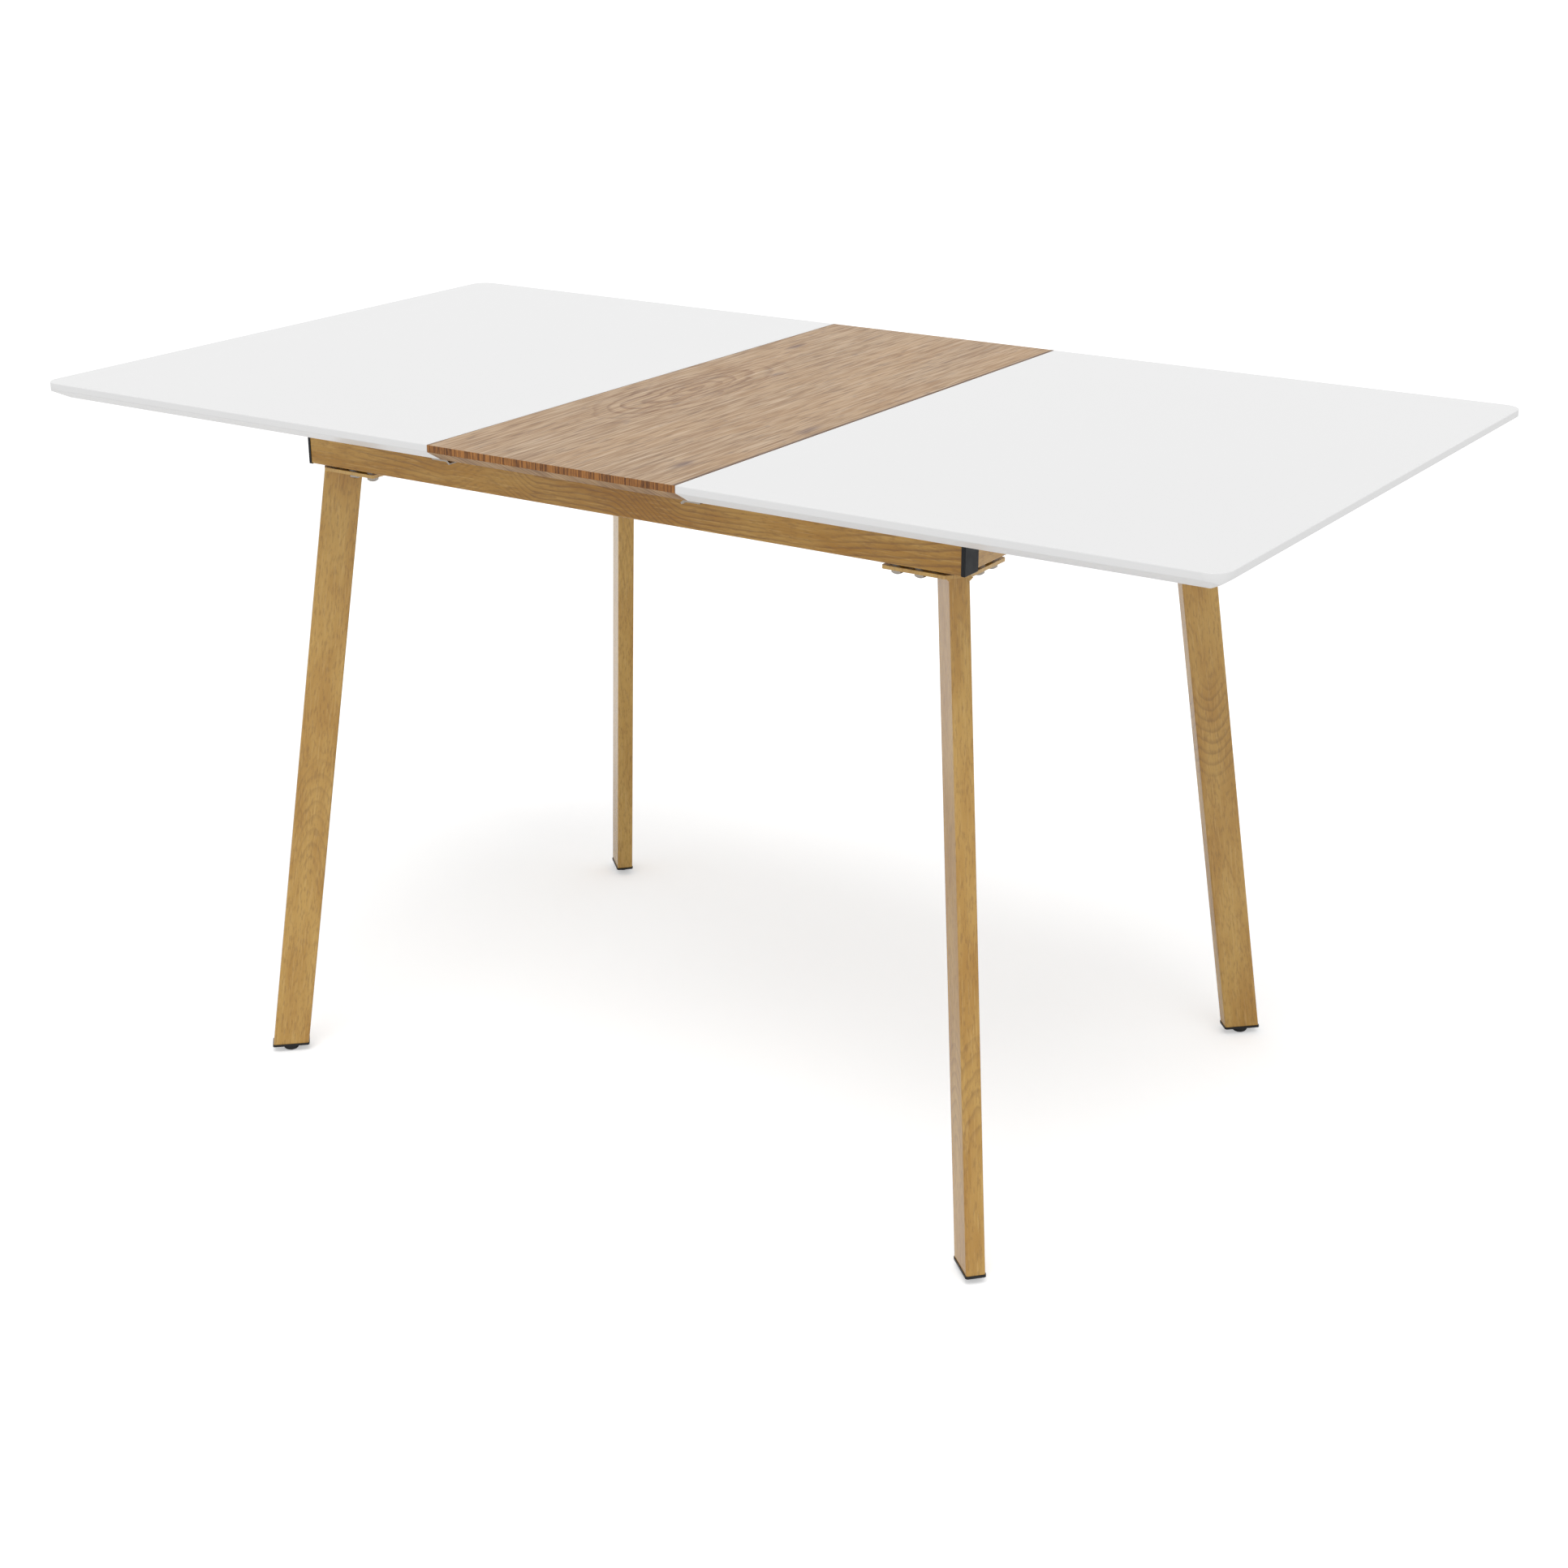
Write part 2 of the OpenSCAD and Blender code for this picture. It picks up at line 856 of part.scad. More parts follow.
module back_right_glide() {
    glide(1, 1);
}

// Draws a section of the front slide, given as v inwards from the rail and z, between two x places
module slide_run(x0, x1) {
    translate([0, -inner_y, 0])
        along_x(x0, x1)
            children();
}

// Places children at each track screw on the rail's inner face, with +Z turned into the rail
module at_track_screws() {
    step = 2 * (end_rail_x - track_screw_margin) / (track_screws - 1);
    for (i = [0:track_screws - 1])
        translate([-end_rail_x + track_screw_margin + i * step, -inner_y, track_mid_z])
            rotate([90, 0, 0])
                children();
}

// Lipped channel along the inner face of the front rail
module track() {
    mid = track_t / 2;
    lip_v = track_d - mid;
    color(zinc_steel)
        difference() {
            slide_run(-end_rail_x, end_rail_x)
                bent_sheet([
                    [lip_v, track_low_z + track_lip], [lip_v, track_low_z + mid],
                    [mid, track_low_z + mid], [mid, track_top_z - mid],
                    [lip_v, track_top_z - mid], [lip_v, track_top_z - track_lip]], track_t);
            at_track_screws()
                translate([0, 0, -track_t - over])
                    cylinder(d = screw_d + 2 * press_gap, h = track_t + 2 * over);
        }
}

module front_track() {
    track();
}

module back_track() {
    mirror([0, 1, 0])
        track();
}

module track_screw_row() {
    color(zinc_steel)
        at_track_screws()
            translate([0, 0, -track_t])
                slotted_screw(track_t + track_screw_l);
}

module front_track_screws() {
    track_screw_row();
}

module back_track_screws() {
    mirror([0, 1, 0])
        track_screw_row();
}

// Rectangle that a nylon block or a rubber stop fills in the track
module track_fill() {
    translate([block_v0, block_z0])
        square([block_v1 - block_v0, block_z1 - block_z0]);
}

// Rubber stops in both ends of both tracks, seated on the end rails
module track_stops() {
    color(rubber_black)
        for (sx = [-1, 1], sy = [-1, 1])
            to_corner(sx, sy)
                slide_run(end_rail_x - stop_t, end_rail_x)
                    track_fill();
}

// Section of a runner: a hook held in the track, a neck through its mouth, a riser and a flange
module runner_section() {
    bent_sheet([
        [hook_v, neck_z + hook_h], [hook_v, neck_z], [riser_v, neck_z],
        [riser_v, flange_z], [flange_end_v, flange_z]], runner_t);
}

module runner(sx, sy) {
    color(zinc_steel)
        to_corner(sx, sy)
            difference() {
                slide_run(runner_x0, runner_x1)
                    runner_section();
                at_runner_screws()
                    translate([0, 0, under_z - runner_t - over])
                        cylinder(d = screw_d + 2 * press_gap, h = runner_t + 2 * over);
            }
}

module left_front_runner() {
    runner(-1, -1);
}

module left_back_runner() {
    runner(-1, 1);
}

module right_front_runner() {
    runner(1, -1);
}

module right_back_runner() {
    runner(1, 1);
}

// Nylon blocks that fill the track round both ends of a half's two hooks
module slide_blocks(sx) {
    color(nylon)
        for (sy = [-1, 1], x0 = [runner_x0, runner_x1 - block_l])
            to_corner(sx, sy)
                slide_run(x0, x0 + block_l)
                    difference() {
                        track_fill();
                        runner_section();
                    }
}

module left_slide_blocks() {
    slide_blocks(-1);
}

module right_slide_blocks() {
    slide_blocks(1);
}

module runner_screw_set(sx) {
    color(zinc_steel)
        to_corner(sx, -1)
            at_runner_screws()
                translate([0, 0, under_z - runner_t])
                    slotted_screw(runner_t + screw_in);
}

module left_runner_screws() {
    runner_screw_set(-1);
}

module right_runner_screws() {
    runner_screw_set(1);
}

// Steel clips under the seam: screwed to the white half, with a dipped and drilled tongue under the leaf
module seam_clips(sx) {
    tip_x = seam_x - clip_tongue;
    dip_x = tip_x + clip_slope * clip_dip;
    color(bright_steel)
        to_corner(sx, -1)
            difference() {
                at_clips()
                    along_y(-clip_w / 2, clip_w / 2)
                        bent_sheet([
                            [seam_x + clip_back, clip_z], [dip_x, clip_z],
                            [tip_x, clip_z - clip_dip]], clip_t);
                at_clip_screws()
                    translate([0, 0, under_z - clip_t - over])
                        cylinder(d = screw_d + 2 * press_gap, h = clip_t + 2 * over);
                at_clips()
                    translate([(seam_x + dip_x) / 2, 0, under_z - clip_t - over])
                        cylinder(d = clip_hole_d, h = clip_t + 2 * over);
            }
}

module left_seam_clips() {
    seam_clips(-1);
}

module right_seam_clips() {
    seam_clips(1);
}

module clip_screw_pair(sx) {
    color(bright_steel)
        to_corner(sx, -1)
            at_clip_screws()
                translate([0, 0, under_z - clip_t])
                    slotted_screw(clip_t + screw_in);
}

module left_clip_screws() {
    clip_screw_pair(-1);
}

module right_clip_screws() {
    clip_screw_pair(1);
}

left_top();
right_top();
leaf();
front_rail();
back_rail();
left_end_rail();
right_end_rail();
front_left_cap();
front_right_cap();
back_left_cap();
back_right_cap();
front_left_leg();
front_right_leg();
back_left_leg();
back_right_leg();
front_left_leg_plate();
front_right_leg_plate();
back_left_leg_plate();
back_right_leg_plate();
front_left_leg_bolts();
front_right_leg_bolts();
back_left_leg_bolts();
back_right_leg_bolts();
front_left_washers();
front_right_washers();
back_left_washers();
back_right_washers();
front_left_rivet_nuts();
front_right_rivet_nuts();
back_left_rivet_nuts();
back_right_rivet_nuts();
front_left_leg_insert();
front_right_leg_insert();
back_left_leg_insert();
back_right_leg_insert();
front_left_glide();
front_right_glide();
back_left_glide();
back_right_glide();
front_track();
back_track();
front_track_screws();
back_track_screws();
track_stops();
left_front_runner();
left_back_runner();
right_front_runner();
right_back_runner();
left_slide_blocks();
right_slide_blocks();
left_runner_screws();
right_runner_screws();
left_seam_clips();
right_seam_clips();
left_clip_screws();
right_clip_screws();
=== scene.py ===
import json
import math
from typing import NamedTuple

import bmesh
import bpy
from mathutils import Matrix, Vector


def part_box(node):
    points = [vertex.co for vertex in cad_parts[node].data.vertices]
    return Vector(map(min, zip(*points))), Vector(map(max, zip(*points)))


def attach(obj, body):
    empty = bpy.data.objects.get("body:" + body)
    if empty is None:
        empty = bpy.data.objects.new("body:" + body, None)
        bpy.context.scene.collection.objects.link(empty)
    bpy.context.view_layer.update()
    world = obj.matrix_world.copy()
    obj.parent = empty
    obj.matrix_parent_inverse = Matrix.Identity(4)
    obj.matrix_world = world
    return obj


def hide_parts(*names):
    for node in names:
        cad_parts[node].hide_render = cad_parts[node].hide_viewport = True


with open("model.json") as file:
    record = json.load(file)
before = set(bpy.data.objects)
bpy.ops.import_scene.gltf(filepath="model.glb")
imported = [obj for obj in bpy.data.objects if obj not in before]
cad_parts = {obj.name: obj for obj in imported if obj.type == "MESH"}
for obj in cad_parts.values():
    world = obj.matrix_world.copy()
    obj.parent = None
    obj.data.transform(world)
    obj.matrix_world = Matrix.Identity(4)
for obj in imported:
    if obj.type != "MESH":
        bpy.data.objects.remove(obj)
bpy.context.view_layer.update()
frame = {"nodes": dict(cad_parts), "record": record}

# Dresses an extending dining table: two white high-gloss halves, an oak-look leaf and an
# oak-look steel frame. Metres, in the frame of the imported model: X runs along the table,
# the front is at -Y and the floor is at z = 0.

bl_info = {
    "name": "Extending dining table",
    "version": (1, 0, 0),
    "blender": (4, 5, 0),
    "location": "View3D > Sidebar > Dining table",
    "description": "Builds the boards, finishes and studio of an extending dining table",
    "category": "Object",
}

NODES = frame["nodes"]
TOP_LOW, TOP_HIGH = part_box("right_top")
CORNERS = ("front_left", "front_right", "back_left", "back_right")
# The photograph's square frame, and the sensor that the lens is quoted for
IMAGE_PX = 1932
SENSOR_MM = 36.0
# Board shapes, in metres: places closer than this are the same, and points closer than this lie on a plane
SAME_PLACE = 1e-6
ON_PLANE = 1e-7
# Edges that turn by more than this are rounded, and faces wider than this many square metres are flats
SHARP_TURN = math.radians(20)
FLAT_AREA = 1e-3


def linear(hex_colour):
    """Linear RGB of an sRGB hex colour such as 'a5824f'."""
    channels = [int(hex_colour[i:i + 2], 16) / 255 for i in (0, 2, 4)]
    return [c / 12.92 if c <= 0.04045 else ((c + 0.055) / 1.055) ** 2.4 for c in channels]


def colour_property(name, description, hex_colour):
    """Colour setting with an sRGB hex default."""
    return bpy.props.FloatVectorProperty(
        name=name, description=description, default=linear(hex_colour),
        size=3, min=0.0, max=1.0, subtype="COLOR")


def length_property(name, description, default):
    """Length setting in metres."""
    return bpy.props.FloatProperty(
        name=name, description=description, default=default, min=0.0, subtype="DISTANCE", unit="LENGTH")


class TableBoards(bpy.types.PropertyGroup):
    """Sizes of the three boards of the top."""
    corner_radius: length_property("Corner radius", "Plan radius of the four outer corners", 0.020)
    edge_band: length_property("Edge band", "Height of the upright edge above the bevel", 0.0075)
    bevel_in: length_property("Bevel depth", "How far the bevel under the edge runs in", 0.020)
    lacquer_round: length_property("Lacquered edge", "Rounding of the white halves' edges", 0.0008)
    foil_round: length_property("Foil edge", "Rounding of the leaf's edges", 0.0004)


class TableColours(bpy.types.PropertyGroup):
    """Colours of the finishes."""
    white: colour_property("White lacquer", "Colour of the two halves", "ebebeb")
    oak_light: colour_property("Leaf, light", "Early wood of the leaf's oak decor", "c2a583")
    oak_dark: colour_property("Leaf, dark", "Fibres of the leaf's oak decor", "856245")
    strip_light: colour_property("Leaf edge, light", "Light stripes of the leaf's edging", "ad7232")
    strip_dark: colour_property("Leaf edge, dark", "Dark stripes of the leaf's edging", "56300f")
    # The leaf bevel's two colours are a darker copy of the decor: painted shade for the bevel under the edge
    shaded_bevel_light: colour_property("Leaf bevel, light", "Light stripes of the leaf's bevel", "b8925f")
    shaded_bevel_dark: colour_property("Leaf bevel, dark", "Dark stripes of the leaf's bevel", "744d2c")
    film_light: colour_property("Frame, light", "Yellow patches of the frame's oak film", "cba255")
    film_brown: colour_property("Frame, brown", "Brown patches of the frame's oak film", "aa7827")
    film_dark: colour_property("Frame, dark", "Grain lines of the frame's oak film", "7a5329")
    plastic: colour_property("Black plastic", "Colour of the rails' end caps", "181a1c")
    glide: colour_property("Glides", "Colour of the inserts and levelling glides", "161719")
    nickel: colour_property("Bright nickel", "Colour of the bolts and clips", "aea59a")
    zinc: colour_property("Clear zinc", "Colour of the slides, washers and rivet nuts", "9ea2a6")
    nylon: colour_property("Nylon", "Colour of the slide blocks", "e8e6df")
    rubber: colour_property("Rubber", "Colour of the track stops", "202225")


class TableLegs(bpy.types.PropertyGroup):
    """How the legs stand, which turns their grain."""
    lean: bpy.props.FloatProperty(
        name="Lean", description="Lean of each leg towards its own corner",
        default=math.radians(8.6), subtype="ANGLE")
    turn: bpy.props.FloatProperty(
        name="Turn", description="Plan direction of the lean, from the frame's length",
        default=math.radians(43), subtype="ANGLE")
    foot_height: length_property("Foot height", "Height at which a leg's axis meets its glide", 0.007)


class TableStage(bpy.types.PropertyGroup):
    """Camera, lamps and floor."""
    eye: bpy.props.FloatVectorProperty(
        name="Eye", description="Place of the camera", default=(1.5120, -2.2587, 1.3526),
        size=3, subtype="TRANSLATION", unit="LENGTH")
    azimuth: bpy.props.FloatProperty(
        name="Azimuth", description="Heading of the camera to the left of the table's back",
        default=math.radians(33.395), subtype="ANGLE")
    pitch: bpy.props.FloatProperty(
        name="Pitch", description="Angle that the camera looks down by", default=math.radians(20.814),
        subtype="ANGLE")
    roll: bpy.props.FloatProperty(
        name="Roll", description="Tilt of the camera about its own line of sight",
        default=math.radians(0.152), subtype="ANGLE")
    focal_px: bpy.props.FloatProperty(
        name="Focal length", description="Focal length in pixels of the square photograph", default=3174.5,
        subtype="PIXEL")
    key_strength: bpy.props.FloatProperty(
        name="Key", description="Strength of the soft key lamp over the front", default=1.13, min=0.0)
    key_from: bpy.props.FloatVectorProperty(
        name="Key direction", description="Direction that the key lamp shines from",
        default=(0.2, -0.35, 0.91), size=3, subtype="DIRECTION")
    key_softness: bpy.props.FloatProperty(
        name="Key softness", description="Angle that the key lamp fills, as seen from the table",
        default=math.radians(40), subtype="ANGLE")
    fill: bpy.props.FloatProperty(
        name="Fill", description="Grey level of the studio round the table", default=0.655, min=0.0)
    floor_lift: bpy.props.FloatProperty(
        name="Floor lift", description="Light that the floor shows to the camera over its own", default=0.38,
        min=0.0)
    floor_size: length_property("Floor", "Half of the floor's width", 40.0)


# Shader building

# Growth ring from one line to the next: places along it, and how much of the line each shows
RING_STOPS = ((0.0, 0.0), (0.5, 0.08), (0.85, 1.0), (1.0, 0.0))


def add(tree, kind, settings=(), inputs=()):
    """Adds a shader node, sets its properties and inputs, and returns its main output."""
    made = tree.nodes.new("ShaderNode" + kind)
    for name, value in dict(settings).items():
        if name == "stops":
            while len(made.color_ramp.elements) < len(value):
                made.color_ramp.elements.new(1.0)
            for element, (place, grey) in zip(made.color_ramp.elements, value):
                element.position = place
                element.color = (grey, grey, grey, 1.0)
        else:
            setattr(made, name, value)
    for name, value in dict(inputs).items():
        if isinstance(value, bpy.types.NodeSocket):
            tree.links.new(value, made.inputs[name])
        else:
            made.inputs[name].default_value = value
    # A Mix node gives colours at its third output
    if kind == "Mix":
        return made.outputs[2]
    return made.outputs[0] if made.outputs else None


def new_material(name):
    """Empty node material and its tree."""
    material = bpy.data.materials.new(name)
    material.use_nodes = True
    material.node_tree.nodes.clear()
    return material, material.node_tree


def object_place(tree, origin=(0, 0, 0), turn=(0, 0, 0)):
    """Object coordinates, measured from origin along axes turned by turn."""
    place = add(tree, "TexCoord").node.outputs["Object"]
    return add(tree, "Mapping", {"vector_type": "TEXTURE"},
               {"Vector": place, "Location": origin, "Rotation": turn})


def steps_from(tree, place, centre_mm, step_mm):
    """Place as a number of steps from a centre along each axis, both given in millimetres."""
    return add(tree, "Mapping", {"vector_type": "TEXTURE"}, {
        "Vector": place, "Location": [c / 1000 for c in centre_mm], "Scale": [s / 1000 for s in step_mm]})


def flecks(tree, place, size_mm, detail=2.0, soft=(0.3, 0.7)):
    """Noise whose spots have about this size in millimetres, spread between 0 and 1."""
    steps = steps_from(tree, place, (0, 0, 0), size_mm)
    noise = add(tree, "TexNoise", (), {"Vector": steps, "Scale": 1.0, "Detail": detail, "Roughness": 0.55})
    return add(tree, "MapRange", {"interpolation_type": "SMOOTHSTEP"},
               {"Value": noise, "From Min": soft[0], "From Max": soft[1]})


def growth_rings(tree, place, centre_mm, spacing_mm, stretch, wobbles, swerves=()):
    """Long nested arches of growth rings, 0 in the early wood and rising to 1 at each ring's line.

    stretch says how much longer than wide the arches are along each axis. Each wobble is a pair: how far it
    moves the rings, and the size of its waves, in millimetres. Each swerve is a stretch of Z, from one
    millimetre to another, over which the rings cross to -X by a third figure."""
    moved = place
    for start_mm, end_mm, reach_mm in swerves:
        along = add(tree, "SeparateXYZ", (), {0: place}).node.outputs["Z"]
        reach = add(tree, "MapRange", {"interpolation_type": "SMOOTHSTEP"}, {
            "Value": along, "To Max": reach_mm / 1000,
            "From Min": start_mm / 1000, "From Max": end_mm / 1000})
        aside = add(tree, "CombineXYZ", (), {0: reach})
        moved = add(tree, "VectorMath", {"operation": "ADD"}, {0: moved, 1: aside})
    for reach_mm, size_mm in wobbles:
        reach = reach_mm / 1000
        steps = steps_from(tree, place, (0, 0, 0), size_mm)
        waves = add(tree, "TexNoise", (), {"Vector": steps, "Scale": 1.0, "Detail": 1.0})
        push = add(tree, "VectorMath", {"operation": "MULTIPLY_ADD"},
                   {0: waves.node.outputs["Color"], 1: [2 * reach] * 3, 2: [-reach] * 3})
        moved = add(tree, "VectorMath", {"operation": "ADD"}, {0: moved, 1: push})
    rings = steps_from(tree, moved, centre_mm, [spacing_mm * s for s in stretch])
    count = add(tree, "VectorMath", {"operation": "LENGTH"}, {0: rings}).node.outputs["Value"]
    phase = add(tree, "Math", {"operation": "FRACT"}, {0: count})
    return add(tree, "ValToRGB", {"stops": RING_STOPS}, {"Fac": phase})


def spot(tree, place, centre_mm, reach_mm, core=0.4):
    """1 within the core of an oval about a centre, fading to 0 at its reach along each axis."""
    reaches = steps_from(tree, place, centre_mm, reach_mm)
    away = add(tree, "VectorMath", {"operation": "LENGTH"}, {0: reaches}).node.outputs["Value"]
    return add(tree, "MapRange", {"interpolation_type": "SMOOTHSTEP"},
               {"Value": away, "From Min": 1.0, "From Max": core})


def together(tree, patterns):
    """Sum of patterns, each times its weight."""
    total = 0.0
    for pattern, weight in patterns:
        total = add(tree, "Math", {"operation": "MULTIPLY_ADD"}, {0: pattern, 1: weight, 2: total})
    return total


def opaque(colour):
    """Colour as a socket takes it, with its fourth figure."""
    return (*colour, 1.0)


def tint(tree, tone, mask, colour, most=1.0):
    """Tone with a colour laid over it where the mask says, up to a share of most."""
    share = add(tree, "Math", {"operation": "MULTIPLY"}, {0: mask, 1: most})
    return add(tree, "Mix", {"data_type": "RGBA"}, {0: share, 6: tone, 7: opaque(colour)})


def surface(tree, tone, wear, roughness, relief, relief_mm, constants=()):
    """Ends a material in a principled shader: wear moves the roughness from the first to the second of its
    two values, relief stands proud by relief_mm, and constants go straight on the shader's sockets."""
    rough = add(tree, "MapRange", (), {"Value": wear, "To Min": roughness[0], "To Max": roughness[1]})
    normal = add(tree, "Bump", (), {"Height": relief, "Strength": 1.0, "Distance": relief_mm / 1000})
    shader = add(tree, "BsdfPrincipled", (), {
        "Base Color": tone, "Roughness": rough, "Normal": normal, **dict(constants)})
    add(tree, "OutputMaterial", (), {"Surface": shader})


# Finishes

# The leaf's small knots: the middle and the reach of each, in millimetres
KNOTS = (
    ((-112, 232, 765), (9, 30, 6)),
    ((132, -118, 765), (9, 34, 6)),
    ((109, -303, 765), (10, 26, 6)),
    ((-45, 91, 765), (7, 22, 6)))
# Where the leaf's decor starts to darken beside each seam, a painted shade of the seam gap, and where it is
# darkest, in millimetres along X
SEAM_SHADE_RIMS = ((-147.8, -149.0), (146.2, 147.6))


def high_gloss_lacquer(colour):
    """Sprayed and polished acrylic lacquer on fibreboard: an even white with mirror gloss and a trace of
    orange peel, a little duller in wiped patches."""
    material, tree = new_material("polished_white_lacquer")
    place = object_place(tree)
    haze = flecks(tree, place, (180, 180, 180), detail=1.0, soft=(0.0, 1.0))
    peel = flecks(tree, place, (5, 5, 5), detail=1.0, soft=(0.0, 1.0))
    tone = tint(tree, opaque([c * 0.985 for c in colour]), haze, colour)
    surface(tree, tone, haze, (0.285, 0.335), peel, 0.003, {"IOR": 1.5})
    return material


def oak_decor(colours):
    """Printed oak foil on the leaf, matt and lightly brushed: fine straight fibres along the board with pale
    streaks between them, broad warm bands, small grey smudges, a spindle of arches left of the middle, four
    small knots and a darker line along the seams, which is painted shade of the gaps with the dark edging
    seen in them. Its fibres are drawn about 2 mm wide, coarser than the print, to show from afar, and a
    second set
    1.3 mm wide gives the close view its detail."""
    material, tree = new_material("brushed_oak_decor_foil")
    place = object_place(tree)
    fibres = flecks(tree, place, (2.3, 55, 20), detail=2.0, soft=(0.38, 0.62))
    threads = flecks(tree, place, (1.3, 45, 20), detail=1.0, soft=(0.34, 0.66))
    streaks = flecks(tree, place, (3.2, 120, 20), detail=1.0, soft=(0.56, 0.76))
    bands = flecks(tree, place, (9, 230, 40), detail=2.0)
    warmth = flecks(tree, place, (60, 200, 60), detail=1.0)
    pores = flecks(tree, place, (2.2, 34, 10), detail=1.0, soft=(0.56, 0.68))
    smudges = flecks(tree, place, (13, 17, 10), detail=1.0, soft=(0.68, 0.80))
    figure = growth_rings(
        tree, place, centre_mm=(-78, -22, 757), spacing_mm=9.0, stretch=(1, 3.2, 1),
        wobbles=((15, (46, 90, 60)), (3.2, (9, 18, 20))))
    spindle = spot(tree, place, (-76, -32, 765), (72, 210, 16))
    arches = add(tree, "Math", {"operation": "MULTIPLY"}, {0: figure, 1: spindle})
    grain = together(tree, ((fibres, 0.38), (bands, 0.20), (threads, 0.20), (arches, 0.72)))
    tone = tint(tree, opaque(colours.oak_light), grain, colours.oak_dark)
    tone = tint(tree, tone, warmth, linear("c29a6d"), 0.22)
    tone = tint(tree, tone, streaks, linear("dfc8ac"), 0.45)
    tone = tint(tree, tone, smudges, linear("7d6c66"), 0.30)
    tone = tint(tree, tone, pores, linear("5e4433"), 0.42)
    knotted = add(tree, "MapRange", (), {"Value": fibres, "To Min": 0.45, "To Max": 0.8})
    for centre_mm, reach_mm in KNOTS:
        oval = spot(tree, place, centre_mm, reach_mm, core=0.1)
        knot = add(tree, "Math", {"operation": "MULTIPLY"}, {0: oval, 1: knotted})
        tone = tint(tree, tone, knot, linear("6f5a55"))
    # Painted shade: the decor darkens over the last millimetres at the seams for the shaded gap and the
    # leaf's dark edging seen in it, more on the right, where the step shows
    across = add(tree, "SeparateXYZ", (), {0: place})
    for start_mm, end_mm in SEAM_SHADE_RIMS:
        seam_shade = add(tree, "MapRange", (), {
            "Value": across, "From Min": start_mm / 1000, "From Max": end_mm / 1000})
        tone = tint(tree, tone, seam_shade, linear("4a3122"), 0.82)
    surface(tree, tone, fibres, (0.48, 0.62), fibres, 0.03)
    return material


def oak_edging(name, colours, turn=(0, 0, 0)):
    """Printed edging on the leaf's sides: redder than the face, with dark upright stripes two to four
    millimetres apart that stand for cut grain."""
    material, tree = new_material(name)
    place = object_place(tree, turn=turn)
    stripes = flecks(tree, place, (1.25, 40, 40), detail=1.0, soft=(0.42, 0.58))
    groups = flecks(tree, place, (16, 60, 60), detail=2.0)
    specks = flecks(tree, place, (1.2, 4, 3), detail=1.0, soft=(0.45, 0.7))
    grain = together(tree, ((stripes, 0.66), (groups, 0.22), (specks, 0.18)))
    tone = tint(tree, opaque(colours.strip_light), grain, colours.strip_dark)
    surface(tree, tone, stripes, (0.52, 0.64), stripes, 0.02)
    return material


def oak_bevel_foil(colours):
    """The face's foil drawn over the leaf's bevel in a darker copy, which is painted shade for the bevel's
    place under the edge: greyer, with thin stripes that run in and down, in groups."""
    material, tree = new_material("wrapped_oak_bevel_foil_painted_shade")
    place = object_place(tree)
    stripes = flecks(tree, place, (2.2, 80, 60), detail=1.0, soft=(0.38, 0.62))
    groups = flecks(tree, place, (18, 40, 40), detail=1.0)
    grain = together(tree, ((stripes, 0.5), (groups, 0.4)))
    # Painted shade: the bevel's stripes are darker than the face's foil
    tone = tint(tree, opaque(colours.shaded_bevel_light), grain, colours.shaded_bevel_dark)
    surface(tree, tone, stripes, (0.45, 0.58), stripes, 0.02)
    return material


class TubeFilm(NamedTuple):
    """How the film on one tube looks. Its rings lie about a line along the tube, and their places are
    millimetres from the middle of a rail, or up a leg from its foot."""
    coat: float  # Share of the clear coat
    # A high brownness on the long rails is painted shade, and a lowered one on the leg plates is painted
    # highlight
    brownness: float  # Least share of brown in its patches, where less than 0 keeps some all yellow
    contrast: float  # How dark the grain lines are
    centre_mm: tuple  # Middle of the rings
    spacing_mm: float  # Distance from ring to ring
    length_ratio: float  # How much longer than wide the arches are
    swerves: tuple = ()  # Stretches over which the rings cross the tube, as growth_rings takes them
    arched: tuple = ()  # Middle and half the length of the one stretch that shows the rings


# The long rails' films are browner than the rest of the frame's: painted shade for the shade under the top's
# overhang
# The front rail's grain arches left of the leaf's middle and dives across to its right
LONG_RAIL_FILMS = {
    "front_rail": TubeFilm(
        coat=0.05, brownness=0.42, contrast=0.6, centre_mm=(-92, 10, 60), spacing_mm=5.4, length_ratio=7,
        swerves=((-215, -150, 28), (-150, -90, -28), (-5, 95, -52))),
    "back_rail": TubeFilm(
        coat=0.05, brownness=0.42, contrast=0.6, centre_mm=(-97, 16, 0), spacing_mm=5.4, length_ratio=7,
        swerves=((-260, -190, -30), (120, 200, 38))),
}
END_RAIL_FILMS = {
    "left_end_rail": TubeFilm(
        coat=0.4, brownness=0.10, contrast=0.6, centre_mm=(-102, 22, -60), spacing_mm=5.4, length_ratio=7,
        swerves=((-60, 40, 34),)),
    "right_end_rail": TubeFilm(
        coat=0.4, brownness=0.10, contrast=0.6, centre_mm=(-107, 28, -120), spacing_mm=5.4, length_ratio=7,
        swerves=((-120, -40, -36),)),
}
